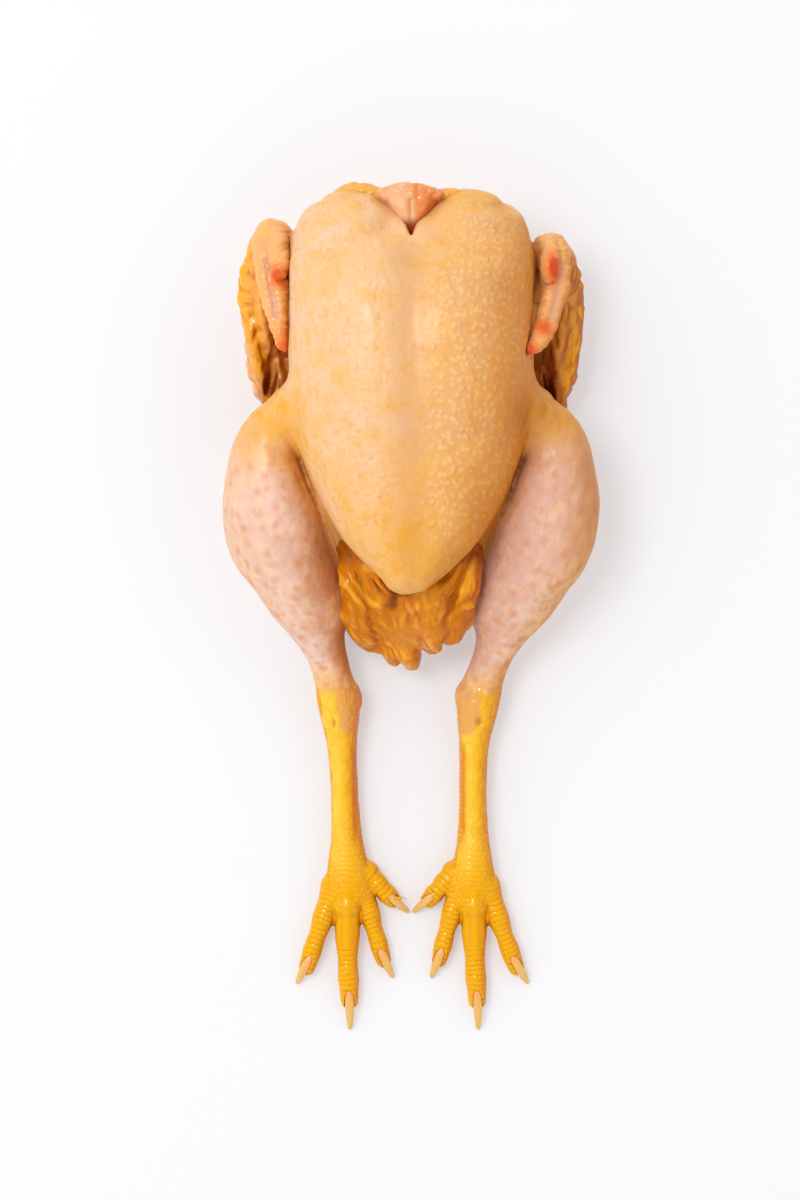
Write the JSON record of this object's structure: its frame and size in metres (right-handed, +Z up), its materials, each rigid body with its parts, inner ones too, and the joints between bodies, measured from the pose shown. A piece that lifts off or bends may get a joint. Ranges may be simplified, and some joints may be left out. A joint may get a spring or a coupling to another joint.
{
  "type": "whole raw chicken",
  "caption": "Whole plucked raw chicken lying on its back, with folded wings, a cut neck, an open vent and scaly yellow shanks, feet and claws stretched out behind it.",
  "frame": {"origin": "on the table, under the middle of the bird's box", "axes": "+Y along the bird towards the neck, +Z up out of the breast, +X to the right as seen from above with the neck pointing away"},
  "size_m": [0.1833, 0.4134, 0.1112],
  "materials": {
    "skin": "moist raw poultry skin, semi-matte, cream to golden yellow",
    "horn": "smooth cream horn"
  },
  "bodies": {
    "root": {"carcass": "skin", "claw_left_middle": "horn", "claw_left_outer": "horn", "claw_left_inner": "horn", "claw_left_hind": "horn", "claw_right_middle": "horn", "claw_right_outer": "horn", "claw_right_inner": "horn", "claw_right_hind": "horn"}
  },
  "joints": []
}
